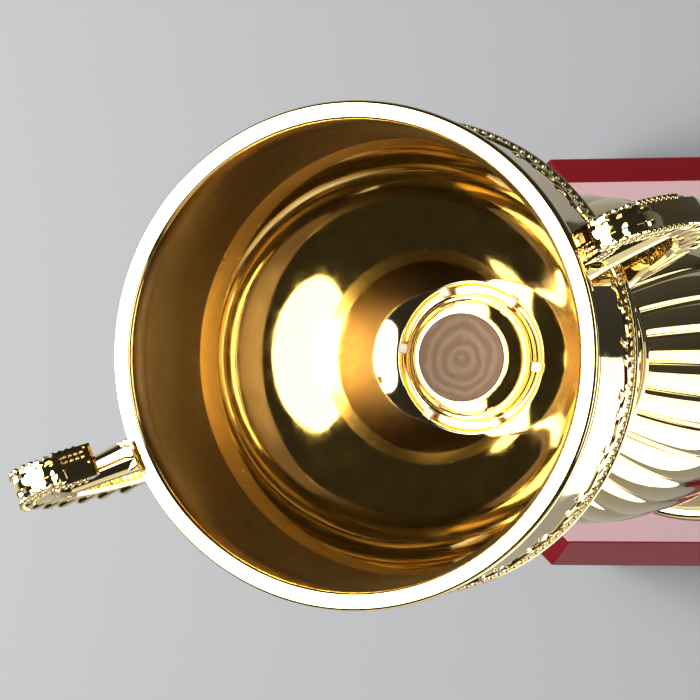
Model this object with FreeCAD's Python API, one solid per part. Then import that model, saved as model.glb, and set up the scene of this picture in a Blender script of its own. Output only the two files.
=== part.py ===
import FreeCAD, Part
import math
import os

# Two-handled cup trophy: plated plastic mouldings stacked on one tie rod.
# Millimetres. +Z is up, the origin is at the centre of the underside of the
# feet, and the handles stand along plus and minus X.

V = FreeCAD.Vector
UP = V(0, 0, 1)
ORIGIN = V(0, 0, 0)

# ---- overall stack, from the table up -------------------------------------
foot_pad_height = 1.5
base_height = 36.5
foot_height = 22.0
body_height = 103.0
neck_height = 36.0
bowl_height = 69.0

# ---- base ------------------------------------------------------------------
base_width = 85.0
base_turn = -22.0
base_corner_cut = 9.0
base_top_bevel = 5.0
base_top_bevel_drop = 4.0
base_low_bevel = 2.0
base_wall = 3.0
base_deck = 4.0
cut_over = 1.0
cover_thickness = 2.5
cover_gap = 0.3
boss_radius = 4.0
boss_inset = 13.0
pad_radius = 5.0
pad_inset = 15.5
weight_radius = 24.0
weight_height = 16.0
weight_bore_radius = 11.0
screw_length = 11.0
screw_radius = 1.5
screw_head_radius = 2.9
screw_head_height = 1.4
screw_slot_length = 3.5
screw_slot_width = 0.6
screw_slot_depth = 0.7
weight_chamfer = 0.8

# ---- tie rod and its nuts ---------------------------------------------------
rod_radius = 3.0
rod_clearance = 0.4
rod_stick_out = 1.6
rod_chamfer = 0.6
nut_across_flats = 10.0
nut_height = 5.0
nut_face_step = 0.2
washer_radius = 6.5
washer_height = 1.4

# ---- plated mouldings --------------------------------------------------------
shell_wall = 2.0
deck_thickness = 2.4
spigot_height = 2.0
spigot_clearance = 0.2

foot_low_radius = 33.0
foot_top_step = 0.5
foot_lip_height = 3.0
foot_lip_round = 1.2
foot_ring_height = 3.2
foot_ring_round = 1.0
foot_cove = -1.6

body_low_radius = 26.0
body_belly_radius = 31.5
body_top_radius = 22.0
body_belly_height = 65.0
body_low_bow = 1.3
body_high_bow = 2.6
flute_count = 30
flute_depth = 0.9

neck_ring_overhang = 1.0
neck_ring_height = 2.6
ring_round = 0.6
cove_step = 0.8
cove_bow = 2.6
neck_waist_radius = 14.2
neck_waist_height = 25.0
neck_seat_step = 0.3
neck_seat_flare = 0.5
nut_pocket_depth = 3.0

cap_lip_radius = 11.4
cap_lip_height = 1.2
cap_lip_edge = 0.7
cap_top_radius = 8.6
cap_height = 7.4
cap_wall = 1.2
cap_step = 0.5
disc_radius = 7.9
disc_thickness = 0.4

# ---- bowl ----------------------------------------------------------------------
mouth_diameter = 85.0
lip_width = 3.1
lip_height = 3.4
lip_shoulder = 0.9
groove_depth = 0.8
groove_height = 7.0
groove_wall = 1.7
groove_end_step = 0.3
band_drop = 31.0
band_recess = 1.9
band_edge_height = 1.4
band_edge_bulge = 0.5
bowl_wall = 2.2
under_step = 1.0
knuckle_step = 1.0
knuckle_rise = 2.0
seat_land = 2.5
hole_gap = 1.3
hole_fillet = 1.1
stub_count = 6
stub_side = 1.7
stub_gap = 0.25
stub_proud = 0.5

# ---- handles ---------------------------------------------------------------------
handle_reach = 62.5
handle_rise = 18.0
handle_drop = 40.0
handle_thickness = 5.0
bar_width = 4.6
bar_swell = 0.8
arm_drop = 5.5
arm_root_half_height = 3.2
arm_root_half_width = 4.0
arm_tip_radius = 2.0
root_bite = 2.0
low_root_rise = 2.5
low_tip_step = 0.2
curl_block_length = 6.0
curl_block_height = 5.4
curl_block_shift = 1.5
curl_block_lower = 0.6
curl_block_proud = 0.5
curl_recess_depth = 1.6
curl_recess_rim = 0.8
peg_radius = 1.5
peg_length = 0.9
peg_clearance = 0.1
peg_overlap = 2.0

# ---- heights that follow from the stack --------------------------------------------
base_floor = foot_pad_height
base_top = base_floor + base_height
foot_top = base_top + foot_height
body_top = foot_top + body_height
neck_top = body_top + neck_height
rim = neck_top + bowl_height

mouth_radius = mouth_diameter / 2
hole_radius = cap_lip_radius + hole_gap
seat_land_radius = hole_radius + hole_fillet + seat_land
neck_seat_radius = seat_land_radius - neck_seat_step
neck_ring_radius = body_top_radius + neck_ring_overhang
foot_top_radius = body_low_radius - foot_top_step
underdeck = base_top - base_top_bevel_drop - base_deck
rod_hole_radius = rod_radius + rod_clearance
washer_seat = neck_top - nut_pocket_depth
cap_floor = neck_top + deck_thickness
neck_socket_radius = neck_ring_radius - ring_round - shell_wall


def at(radius, height):
    return V(radius, 0, height)


def outline(start, *steps):
    """Closed face in the XZ plane. A step is a point, or a pair for an arc."""
    edges = []
    here = start
    for step in steps + (start,):
        if isinstance(step, tuple):
            edges.append(Part.Arc(here, step[0], step[1]).toShape())
            here = step[1]
        elif here.distanceToPoint(step) > 1e-6:
            edges.append(Part.LineSegment(here, step).toShape())
            here = step
    return Part.Face(Part.Wire(edges))


def lathe(face):
    return face.revolve(ORIGIN, UP, 360)


def cylinder(radius, bottom, top, x=0.0, y=0.0):
    return Part.makeCylinder(radius, top - bottom, V(x, y, bottom))


def tube(outer, inner, bottom, top):
    return cylinder(outer, bottom, top).cut(cylinder(inner, bottom - cut_over, top + cut_over))


def bulge(a, b, amount):
    """Middle point of an arc from a to b that bows out by amount."""
    chord = b - a
    side = V(chord.z, 0, -chord.x)
    side.normalize()
    return (a + b) * 0.5 + side * amount


def square_ring(side, cut):
    """Square with cut corners, as a closed wire at height zero."""
    h = side / 2
    c = h - cut
    corners = [(h, c), (c, h), (-c, h), (-h, c), (-h, -c), (-c, -h), (c, -h), (h, -c)]
    points = [V(x, y, 0) for x, y in corners]
    return Part.makePolygon(points + points[:1])


def square_slab(side, cut, bottom, top):
    face = Part.Face(square_ring(side, cut))
    face.translate(V(0, 0, bottom))
    return face.extrude(V(0, 0, top - bottom))


def bevelled_block(low, high):
    """Loft between two cut-corner squares, each given as side, cut, height."""
    wires = []
    for side, cut, height in (low, high):
        wire = square_ring(side, cut)
        wire.translate(V(0, 0, height))
        wires.append(wire)
    return Part.makeLoft(wires, True, True)


def corners(inset):
    reach = base_width / 2 - inset
    return [(sx * reach, sy * reach) for sx in (-1, 1) for sy in (-1, 1)]


# ---- base shell, cover, screws, feet, ballast ----------------------------------------
def make_base_shell():
    low_edge = base_floor + base_low_bevel
    high_edge = base_top - base_top_bevel_drop
    top_side = base_width - 2 * base_top_bevel
    low_side = base_width - 2 * base_low_bevel
    shell = square_slab(base_width, base_corner_cut, low_edge, high_edge)
    top = bevelled_block((base_width, base_corner_cut, high_edge), (top_side, base_corner_cut, base_top))
    low = bevelled_block((low_side, base_corner_cut, base_floor), (base_width, base_corner_cut, low_edge))
    shell = shell.fuse([top, low]).removeSplitter()
    room_side = low_side - 2 * base_wall
    room = square_slab(room_side, base_corner_cut, base_floor - cut_over, underdeck)
    shell = shell.cut(room)
    for x, y in corners(boss_inset):
        boss = cylinder(boss_radius, base_floor + cover_thickness, underdeck + cut_over, x, y)
        shell = shell.fuse(boss)
    for x, y in corners(boss_inset):
        bore_top = base_floor + screw_length + cut_over
        shell = shell.cut(cylinder(screw_radius, base_floor, bore_top, x, y))
    return shell.cut(cylinder(rod_hole_radius, base_floor, base_top + cut_over)).removeSplitter()


def make_base_cover():
    side = base_width - 2 * base_low_bevel - 2 * base_wall - 2 * cover_gap
    plate = square_slab(side, base_corner_cut, base_floor, base_floor + cover_thickness)
    low = base_floor - cut_over
    high = base_floor + cover_thickness + cut_over
    recess_top = base_floor + screw_head_height
    for x, y in corners(boss_inset):
        plate = plate.cut(cylinder(screw_radius + cover_gap, low, high, x, y))
        plate = plate.cut(cylinder(screw_head_radius + cover_gap, low, recess_top, x, y))
    return plate


def make_cover_screws():
    screws = []
    for x, y in corners(boss_inset):
        head = cylinder(screw_head_radius, base_floor, base_floor + screw_head_height, x, y)
        shank = cylinder(screw_radius, base_floor, base_floor + screw_length, x, y)
        screw = head.fuse(shank)
        for turn in (0, 90):
            corner = V(-screw_slot_length / 2, -screw_slot_width / 2, 0)
            slot = Part.makeBox(screw_slot_length, screw_slot_width, screw_slot_depth, corner)
            slot.rotate(ORIGIN, UP, turn)
            slot.translate(V(x, y, base_floor))
            screw = screw.cut(slot)
        screws.append(screw.removeSplitter())
    return Part.makeCompound(screws)


def make_feet():
    reach = base_width / 2 - pad_inset
    places = [(reach, 0), (-reach, 0), (0, reach), (0, -reach)]
    return Part.makeCompound([cylinder(pad_radius, 0, foot_pad_height, x, y) for x, y in places])


def level_edges(solid):
    return [e for e in solid.Edges if abs(e.BoundBox.ZMin - e.BoundBox.ZMax) < 1e-6]


def make_base_weight():
    block = tube(weight_radius, weight_bore_radius, underdeck - weight_height, underdeck)
    return block.makeChamfer(weight_chamfer, level_edges(block))


# ---- tie rod, nuts and washers ------------------------------------------------------------
def hex_nut(bottom):
    """Hexagon with both faces turned down to a circle, and a plain bore."""
    across_corners = nut_across_flats / math.cos(math.radians(30))
    points = [V(across_corners / 2 * math.cos(a), across_corners / 2 * math.sin(a), bottom)
              for a in [math.radians(60 * k) for k in range(6)]]
    prism = Part.Face(Part.makePolygon(points + points[:1])).extrude(V(0, 0, nut_height))
    washer_face = nut_across_flats / 2 - nut_face_step
    cone = Part.makeCone(washer_face + nut_height, washer_face, nut_height, V(0, 0, bottom))
    other_cone = cone.mirror(V(0, 0, bottom + nut_height / 2), UP)
    nut = prism.common(cone).common(other_cone)
    return nut.cut(cylinder(rod_radius, bottom - cut_over, bottom + nut_height + cut_over))


def washer(bottom):
    return tube(washer_radius, rod_hole_radius, bottom, bottom + washer_height)


bottom_washer_floor = underdeck - washer_height
bottom_nut_floor = bottom_washer_floor - nut_height
top_nut_floor = washer_seat + washer_height


def make_tie_rod():
    bottom = bottom_nut_floor - rod_stick_out
    top = top_nut_floor + nut_height + rod_stick_out
    rod = cylinder(rod_radius, bottom, top)
    return rod.makeChamfer(rod_chamfer, level_edges(rod))


# ---- foot flange ----------------------------------------------------------------------------
def make_foot():
    lip_radius = foot_low_radius - foot_lip_round
    rise_start = at(lip_radius, base_top + foot_lip_height)
    rise_end = at(foot_top_radius + foot_ring_round, foot_top - foot_ring_height)
    inside_low = at(lip_radius - shell_wall, base_top)
    inside_high = at(foot_top_radius - shell_wall, foot_top - deck_thickness)
    face = outline(at(lip_radius, base_top),
                   (at(foot_low_radius, base_top + foot_lip_height / 2), rise_start),
                   (bulge(rise_start, rise_end, foot_cove), rise_end),
                   (at(foot_top_radius + 2 * foot_ring_round, foot_top - foot_ring_height / 2),
                    at(foot_top_radius, foot_top)),
                   at(rod_hole_radius, foot_top),
                   at(rod_hole_radius, foot_top - deck_thickness), inside_high,
                   (bulge(inside_high, inside_low, -foot_cove), inside_low))
    spigot_radius = body_low_radius - shell_wall - spigot_clearance
    spigot = tube(spigot_radius, spigot_radius - shell_wall, foot_top, foot_top + spigot_height)
    return lathe(face).fuse(spigot).removeSplitter()


# ---- fluted body -------------------------------------------------------------------------------
belly = foot_top + body_belly_height


def body_skin(inset):
    """Low end, arc up to the belly, arc on to the top, moved in by inset."""
    low = at(body_low_radius - inset, foot_top)
    wide = at(body_belly_radius - inset, belly)
    high = at(body_top_radius - inset, body_top)
    return low, wide, high


def body_arcs(inset):
    low, wide, high = body_skin(inset)
    low_mid = bulge(low, wide, body_low_bow)
    high_mid = bulge(wide, high, body_high_bow)
    return low, (low_mid, wide), (high_mid, high)


def make_fluted_body():
    low, to_wide, to_high = body_arcs(0)
    inner_low, inner_to_wide, inner_to_high = body_arcs(shell_wall)
    deck_floor = body_top - deck_thickness
    outer = lathe(outline(low, to_wide, to_high, at(0, body_top), at(0, foot_top)))
    inner = lathe(outline(inner_low, inner_to_wide, inner_to_high, at(0, body_top), at(0, foot_top)))
    inner = inner.common(cylinder(2 * body_belly_radius, foot_top - cut_over, deck_floor))
    shell = outer.cut(inner)
    shell = shell.cut(cylinder(rod_hole_radius, foot_top, body_top + cut_over))
    spine = Part.Wire([Part.Arc(low, to_wide[0], to_wide[1]).toShape(),
                       Part.Arc(to_wide[1], to_high[0], to_high[1]).toShape()])
    ring = Part.makeCircle(flute_depth, low, V(low.x - to_wide[0].x, 0, low.z - to_wide[0].z))
    groove = spine.makePipe(Part.Face(Part.Wire(ring)))
    grooves = []
    for k in range(flute_count):
        copy = groove.copy()
        copy.rotate(ORIGIN, UP, 360 * (k + 0.5) / flute_count)
        grooves.append(copy)
    shell = shell.cut(grooves)
    spigot_radius = neck_socket_radius - spigot_clearance
    spigot = tube(spigot_radius, spigot_radius - shell_wall, body_top, body_top + spigot_height)
    return shell.fuse(spigot).removeSplitter()


# ---- neck collar, cap and disc --------------------------------------------------------------------
def make_neck_collar():
    ring_edge = neck_ring_radius - ring_round
    ring_top = body_top + neck_ring_height
    cove_start = at(ring_edge - cove_step, ring_top)
    waist_height = body_top + neck_waist_height
    waist = at(neck_waist_radius, waist_height)
    seat = at(neck_seat_radius, neck_top)
    deck_floor = washer_seat - deck_thickness
    socket_top = at(neck_socket_radius, body_top + spigot_height + spigot_clearance)
    inner_waist = at(neck_waist_radius - shell_wall, waist_height)
    face = outline(at(ring_edge, body_top),
                   (at(neck_ring_radius, body_top + neck_ring_height / 2), at(ring_edge, ring_top)),
                   cove_start,
                   (bulge(cove_start, waist, -cove_bow), waist),
                   (bulge(waist, seat, -neck_seat_flare), seat),
                   at(cap_lip_radius, neck_top),
                   at(cap_lip_radius, cap_floor),
                   at(cap_lip_radius - cap_wall, cap_floor),
                   at(cap_lip_radius - cap_wall, washer_seat),
                   at(rod_hole_radius, washer_seat),
                   at(rod_hole_radius, deck_floor),
                   at(neck_waist_radius - shell_wall, deck_floor),
                   inner_waist,
                   (bulge(inner_waist, socket_top, cove_bow), socket_top),
                   at(neck_socket_radius, body_top))
    return lathe(face)


def make_nut_cap():
    top = neck_top + cap_height
    inner_top = top - cap_wall
    face = outline(at(0, inner_top), at(cap_top_radius - cap_wall, inner_top),
                   at(cap_lip_radius - 2 * cap_wall, cap_floor), at(cap_lip_radius, cap_floor),
                   at(cap_lip_radius, cap_floor + cap_lip_edge),
                   at(cap_lip_radius - cap_step, cap_floor + cap_lip_height),
                   at(cap_top_radius + cap_step, top - cap_step), at(cap_top_radius, top), at(0, top))
    return lathe(face)


def make_cap_disc():
    floor = neck_top + cap_height
    return cylinder(disc_radius, floor, floor + disc_thickness)


# ---- bowl ------------------------------------------------------------------------------------------
band_radius = mouth_radius - band_recess
band_bottom = rim - band_drop
inner_lip_radius = mouth_radius - lip_width
lip_turn = rim - lip_width / 2
throat_radius = band_radius - groove_depth - groove_wall
inner_knuckle_radius = band_radius - bowl_wall - knuckle_step


def rounded_bottom(radius, top, bottom, hole):
    """Quarter of an ellipse, from the wall at height top to the hole's edge."""
    depth = (top - bottom) / math.sqrt(1 - (hole / radius) ** 2)
    steps = 7
    last = math.acos(hole / radius)
    angles = [last * k / steps for k in range(steps + 1)]
    curve = Part.BSplineCurve()
    curve.interpolate(Points=[at(radius * math.cos(a), top - depth * math.sin(a)) for a in angles])
    return curve


def line(a, b):
    return Part.LineSegment(a, b).toShape()


def arc(a, middle, b):
    return Part.Arc(a, middle, b).toShape()


def bowl_outside():
    """Edges of the outside, from the inner edge of the lip down to the seat."""
    groove_top = rim - lip_height
    groove_floor = groove_top - groove_height
    edge_top = band_bottom + band_edge_height
    lip_outer = at(mouth_radius, lip_turn)
    shoulder = at(mouth_radius - lip_shoulder, groove_top)
    groove_middle = at(band_radius - groove_depth, (groove_top + groove_floor) / 2)
    groove_end = at(band_radius - groove_end_step, groove_floor)
    bead_middle = at(band_radius + band_edge_bulge, band_bottom + band_edge_height / 2)
    under = rounded_bottom(band_radius - under_step, band_bottom, neck_top, seat_land_radius)
    return [arc(at(inner_lip_radius, lip_turn), at(mouth_radius - lip_width / 2, rim), lip_outer),
            line(lip_outer, shoulder),
            arc(shoulder, groove_middle, groove_end),
            line(groove_end, at(band_radius, edge_top)),
            arc(at(band_radius, edge_top), bead_middle, at(band_radius, band_bottom)),
            line(at(band_radius, band_bottom), under.StartPoint),
            under.toShape(),
            line(under.EndPoint, at(hole_radius, neck_top))]


def bowl_envelope():
    """Solid with the bowl's outside and no hollow, which the handles fit."""
    closing = [line(at(hole_radius, neck_top), at(0, neck_top)), line(at(0, neck_top), at(0, lip_turn)),
               line(at(0, lip_turn), at(inner_lip_radius, lip_turn))]
    return Part.Face(Part.Wire(bowl_outside() + closing))


def bowl_section():
    floor = neck_top + bowl_wall
    turn = hole_fillet * (1 - math.sqrt(0.5))
    hole_edge = hole_radius + hole_fillet
    inside = rounded_bottom(inner_knuckle_radius, band_bottom + knuckle_rise, floor, hole_edge)
    inside.reverse()
    throat = at(throat_radius, rim - lip_height)
    fillet_low = at(hole_radius, floor - hole_fillet)
    closing = [line(at(hole_radius, neck_top), fillet_low),
               arc(fillet_low, at(hole_radius + turn, floor - turn), inside.StartPoint),
               inside.toShape(),
               line(inside.EndPoint, throat),
               line(throat, at(inner_lip_radius, lip_turn))]
    return Part.Face(Part.Wire(bowl_outside() + closing))


def make_bowl():
    shell = lathe(bowl_section()).cut(make_gate_stubs())
    for side in (1, -1):
        for height in (arm_height, foot_height_on_bowl):
            shell = shell.cut(peg(height, peg_clearance, side))
    return shell


def make_gate_stubs():
    """Square cut ends that reach from the floor's edge into the hole."""
    stubs = []
    start = cap_lip_radius + stub_gap
    low = neck_top + bowl_wall - stub_side + stub_proud
    for k in range(stub_count):
        stub = Part.makeBox(stub_side, stub_side, stub_side, V(start, -stub_side / 2, low))
        stub.rotate(ORIGIN, UP, 360 * (k + 0.5) / stub_count)
        stubs.append(stub)
    return Part.makeCompound(stubs)


# ---- handles ---------------------------------------------------------------------------------------
arm_height = rim - arm_drop
foot_height_on_bowl = rim - handle_drop + low_root_rise


def outside_radius(height):
    """Radius of the bowl's outside at a height, found on its own section."""
    level = line(at(0, height), at(mouth_radius * 2, height))
    return max(v.X for v in bowl_envelope().common(level).Vertexes)


def peg(height, gap, side):
    start = outside_radius(height) - peg_length - gap
    length = peg_length + gap + peg_overlap
    rod = Part.makeCylinder(peg_radius + gap, length, V(start, 0, height), V(1, 0, 0))
    if side < 0:
        rod.rotate(ORIGIN, UP, 180)
    return rod


def handle_spine():
    """Points of the scroll, from the curled end over the top to the bowl.

    Each place is a share of the handle's span out from the band and of its
    drop from the top, so the scroll keeps its shape at any size.
    """
    near = band_radius
    span = handle_reach - bar_width / 2 - near
    top = rim + handle_rise - bar_width / 2
    drop = handle_rise - bar_width / 2 + handle_drop
    places = [(0.36, 0.05), (0.56, 0.0), (0.80, 0.05), (0.97, 0.20), (1.0, 0.38),
              (0.90, 0.55), (0.69, 0.72), (0.38, 0.88), (-0.10, 1.0)]
    return [V(near + span * u, 0, top - drop * v) for u, v in places]


def ribbon(spine_points, half_width):
    """Closed face that follows the spine with the given half width."""
    curve = Part.BSplineCurve()
    curve.interpolate(Points=spine_points)
    steps = 18
    first, last = curve.FirstParameter, curve.LastParameter
    sides = ([], [])
    for k in range(steps + 1):
        t = first + (last - first) * k / steps
        place = curve.value(t)
        along = curve.tangent(t)[0]
        across = V(along.z, 0, -along.x)
        width = half_width(k / steps)
        sides[0].append(place + across * width)
        sides[1].append(place - across * width)
    left, right = Part.BSplineCurve(), Part.BSplineCurve()
    left.interpolate(Points=sides[0])
    right.interpolate(Points=sides[1])
    caps = [Part.LineSegment(sides[0][-1], sides[1][-1]).toShape(),
            Part.LineSegment(sides[1][0], sides[0][0]).toShape()]
    return Part.Face(Part.Wire([left.toShape(), caps[0], right.toShape(), caps[1]]))


def make_handle():
    spine = handle_spine()
    bar = ribbon(spine, lambda t: bar_width / 2 + bar_swell * math.sin(math.pi * t))
    bar.translate(V(0, -handle_thickness / 2, 0))
    handle = bar.extrude(V(0, handle_thickness, 0))
    end = spine[0]
    block_centre = V(end.x - curl_block_length / 2 + curl_block_shift, 0, end.z - curl_block_lower)
    half_block = V(curl_block_length / 2, handle_thickness / 2 + curl_block_proud, curl_block_height / 2)
    block = Part.makeBox(curl_block_length, 2 * half_block.y, curl_block_height, block_centre - half_block)
    recess = Part.makeBox(curl_recess_depth, 2 * (half_block.y - curl_recess_rim),
                          curl_block_height - 2 * curl_recess_rim,
                          block_centre - half_block + V(0, curl_recess_rim, curl_recess_rim))
    handle = handle.fuse(block).cut(recess)
    root_start = outside_radius(arm_height) - root_bite
    root = arm_section(root_start, arm_height, arm_root_half_width, arm_root_half_height)
    tip_place = spine[4]
    tip = arm_section(tip_place.x - root_bite / 2, tip_place.z, arm_tip_radius, arm_tip_radius)
    arm = Part.makeLoft([root, tip], True, False)
    low = spine[-2]
    low_tip = arm_section(low.x, low.z, handle_thickness / 2 - low_tip_step, bar_width / 2)
    low_root = arm_section(outside_radius(foot_height_on_bowl) - root_bite, foot_height_on_bowl,
                           arm_root_half_width, arm_root_half_height)
    foot_pad = Part.makeLoft([low_root, low_tip], True, False)
    handle = handle.fuse([arm, foot_pad])
    handle = handle.cut(lathe(bowl_envelope()))
    solids = sorted(handle.Solids, key=lambda s: s.Volume)
    handle = solids[-1]
    for height in (arm_height, foot_height_on_bowl):
        handle = handle.fuse(peg(height, 0, 1))
    return handle.removeSplitter()


def arm_section(x, z, half_width, half_height):
    """Upright ellipse across the arm, as a closed wire."""
    major = max(half_width, half_height)
    minor = min(half_width, half_height)
    long_way = V(0, 1, 0) if half_width >= half_height else V(0, 0, 1)
    centre = V(x, 0, z)
    if major - minor < 1e-6:
        return Part.Wire(Part.makeCircle(major, centre, V(1, 0, 0)))
    short_way = V(1, 0, 0).cross(long_way)
    ellipse = Part.Ellipse(centre + long_way * major, centre + short_way * minor, centre)
    return Part.Wire(ellipse.toShape())


def turned(shape):
    """The base stands a little round from the handles; the rod is done up where the cup came to rest."""
    shape.rotate(ORIGIN, UP, base_turn)
    return shape


# ---- write every node --------------------------------------------------------------------------------
def main():
    os.makedirs("parts", exist_ok=True)
    handle = make_handle()
    other_handle = handle.copy()
    other_handle.rotate(ORIGIN, UP, 180)
    nodes = {
        "cup_bowl": make_bowl(),
        "bowl_gate_stubs": make_gate_stubs(),
        "handle_right": handle,
        "handle_left": other_handle,
        "nut_cap": make_nut_cap(),
        "cap_disc": make_cap_disc(),
        "neck_collar": make_neck_collar(),
        "fluted_body": make_fluted_body(),
        "foot": make_foot(),
        "base_shell": turned(make_base_shell()),
        "base_cover": turned(make_base_cover()),
        "base_weight": make_base_weight(),
        "tie_rod": make_tie_rod(),
        "top_nut": hex_nut(top_nut_floor),
        "top_washer": washer(washer_seat),
        "bottom_nut": hex_nut(bottom_nut_floor),
        "bottom_washer": washer(bottom_washer_floor),
        "cover_screws": turned(make_cover_screws()),
        "feet": turned(make_feet()),
    }
    for name, shape in nodes.items():
        shape.exportStep("parts/" + name + ".step")
        box = shape.BoundBox
        print(name, shape.isValid(), len(shape.Solids), round(shape.Volume), "mm3",
              [round(v, 1) for v in (box.XMin, box.XMax, box.YMin, box.YMax, box.ZMin, box.ZMax)])


main()
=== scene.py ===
import math
import bmesh
import bpy
from mathutils import Matrix, Vector


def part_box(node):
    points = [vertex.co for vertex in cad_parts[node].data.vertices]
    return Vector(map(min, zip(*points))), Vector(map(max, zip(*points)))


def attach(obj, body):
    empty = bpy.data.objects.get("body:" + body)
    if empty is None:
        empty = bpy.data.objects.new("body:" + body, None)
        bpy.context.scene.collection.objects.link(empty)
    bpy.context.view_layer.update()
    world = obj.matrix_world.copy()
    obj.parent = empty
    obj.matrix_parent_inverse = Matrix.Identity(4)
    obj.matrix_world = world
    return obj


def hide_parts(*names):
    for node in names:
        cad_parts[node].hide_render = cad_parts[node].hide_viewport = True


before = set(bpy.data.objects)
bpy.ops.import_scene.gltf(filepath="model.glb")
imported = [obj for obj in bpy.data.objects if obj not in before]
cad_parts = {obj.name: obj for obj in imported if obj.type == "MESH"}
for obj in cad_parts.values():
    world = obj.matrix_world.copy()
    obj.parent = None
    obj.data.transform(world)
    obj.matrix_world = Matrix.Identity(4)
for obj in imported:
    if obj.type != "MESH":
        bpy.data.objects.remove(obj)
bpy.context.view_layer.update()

# ---- Camera -----------------------------------------------------------------
# The trophy stands upright in its own frame. The camera looks down into the
# mouth, a little off the axis and rolled, so the cup seems to lie on its side
# with one handle up to the right and the other down to the left.
mouth_low, mouth_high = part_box("cup_bowl")
MOUTH_RADIUS = (mouth_high.x - mouth_low.x) / 2
RIM = mouth_high.z
CAMERA_DISTANCE = 21.0 * MOUTH_RADIUS
TILT = math.radians(18.3)
DROOP = math.radians(1.1)
HANDLE_LIFT = math.radians(22.2)
FIELD_OF_RIM = 0.7305          # mouth's diameter as a share of the picture's width

down_axis = Vector((math.sin(TILT) * math.cos(DROOP), -math.sin(TILT) * math.sin(DROOP), -math.cos(TILT)))
level = Vector((1, 0, 0))
level = (level - down_axis * level.dot(down_axis)).normalized()
across = down_axis.cross(level)
row_x = level * math.cos(HANDLE_LIFT) - across * math.sin(HANDLE_LIFT)
row_z = -down_axis
row_y = row_z.cross(row_x)
row_to_camera = Matrix((row_x, row_y, row_z)).transposed()
camera_to_row = row_to_camera.transposed()

camera_data = bpy.data.cameras.new("camera")
camera_data.sensor_width = 36.0
camera_data.lens = 36.0 * FIELD_OF_RIM * CAMERA_DISTANCE / (2 * MOUTH_RADIUS)
camera_data.clip_start, camera_data.clip_end = 0.05, 50.0


def add_object(name, data):
    """A new object in the scene."""
    made = bpy.data.objects.new(name, data)
    bpy.context.scene.collection.objects.link(made)
    return made


camera = add_object("camera", camera_data)
rim_in_view = Vector((0.0088 * MOUTH_RADIUS, -0.0222 * MOUTH_RADIUS, -CAMERA_DISTANCE))
camera.location = Vector((0, 0, RIM)) - camera_to_row @ rim_in_view
camera.rotation_mode = "QUATERNION"
camera.rotation_quaternion = camera_to_row.to_quaternion()
bpy.context.scene.camera = camera
bpy.context.scene.view_settings.view_transform = "Standard"
bpy.context.scene.cycles.glossy_bounces = 12
bpy.context.scene.cycles.max_bounces = 16


# ---- Base shell --------------------------------------------------------------
# Hollow moulding in dark red ABS, lacquered to a deep gloss. Square, with cut
# corners and bevelled edges; the mould leaves every edge slightly rounded.
def colour(code):
    """An sRGB hex colour as linear red, green, blue and alpha."""
    parts = [int(code[i:i + 2], 16) / 255 for i in (1, 3, 5)]
    return [c / 12.92 if c <= 0.04045 else ((c + 0.055) / 1.055) ** 2.4 for c in parts] + [1.0]


def add_node(tree, kind, settings=None, **inputs):
    """Adds a node; an input is a value, or another node's output to link."""
    node = tree.nodes.new(kind)
    for key, value in (settings or {}).items():
        setattr(node, key, value)
    for key, value in inputs.items():
        numbered = key[0] == "i" and key[1:].isdigit()
        socket = node.inputs[int(key[1:]) if numbered else key.replace("_", " ")]
        if isinstance(value, bpy.types.NodeSocket):
            tree.links.new(value, socket)
        else:
            socket.default_value = value
    return node


def new_material(name, **shader_settings):
    """A material with its shader's own sockets set; returns it and its tree."""
    material = bpy.data.materials.new(name)
    material.use_nodes = True
    shader = material.node_tree.nodes["Principled BSDF"]
    for key, value in shader_settings.items():
        shader.inputs[key.replace("_", " ")].default_value = value
    return material, material.node_tree, shader


def dress(piece, material):
    piece.data.materials.clear()
    piece.data.materials.append(material)


def rounded_copy(node, width, segments, weld=1e-6):
    """A copy of a CAD node with whole flat faces and rounded edges, in metres."""
    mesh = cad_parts[node].data.copy()
    mesh.name = node + "_moulding"
    work = bmesh.new()
    work.from_mesh(mesh)
    bmesh.ops.remove_doubles(work, verts=work.verts, dist=weld)
    bmesh.ops.dissolve_limit(work, angle_limit=math.radians(1.0), verts=work.verts, edges=work.edges)
    work.to_mesh(mesh)
    work.free()
    for face in mesh.polygons:
        face.use_smooth = True
    piece = add_object(mesh.name, mesh)
    bevel = piece.modifiers.new("edges", "BEVEL")
    bevel.width, bevel.segments, bevel.limit_method = width, segments, "ANGLE"
    bevel.angle_limit = math.radians(25)
    bevel.harden_normals = True
    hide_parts(node)
    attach(piece, "root")
    return piece


def red_gloss():
    """Lacquered ABS: deep colour under a clear, faintly rippled coat.

    Cloudy tones about 55 mm across, dust of 1 mm and a ripple of 4.5 mm.
    """
    material, tree, shader = new_material("red_gloss_lacquer", IOR=1.5, Coat_Weight=0.35,
                                          Coat_Roughness=0.03, Coat_IOR=1.5)
    place = add_node(tree, "ShaderNodeTexCoord").outputs["Object"]
    clouds = add_node(tree, "ShaderNodeTexNoise", Vector=place, Scale=18.0, Detail=3.0)
    tone = add_node(tree, "ShaderNodeMix", {"data_type": "RGBA"}, i0=clouds.outputs["Fac"],
                    i6=colour("#3C0609"), i7=colour("#520D12"))
    tree.links.new(tone.outputs[2], shader.inputs["Base Color"])
    dust = add_node(tree, "ShaderNodeTexNoise", Vector=place, Scale=900.0, Detail=2.0)
    rough = add_node(tree, "ShaderNodeMapRange", Value=dust.outputs["Fac"],
                     i1=0.35, i2=0.75, i3=0.12, i4=0.24)
    tree.links.new(rough.outputs[0], shader.inputs["Roughness"])
    ripple = add_node(tree, "ShaderNodeTexNoise", Vector=place, Scale=220.0, Detail=1.0)
    bump = add_node(tree, "ShaderNodeBump", Strength=0.05, Distance=0.0004, Height=ripple.outputs["Fac"])
    tree.links.new(bump.outputs[0], shader.inputs["Coat Normal"])
    return material


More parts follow.
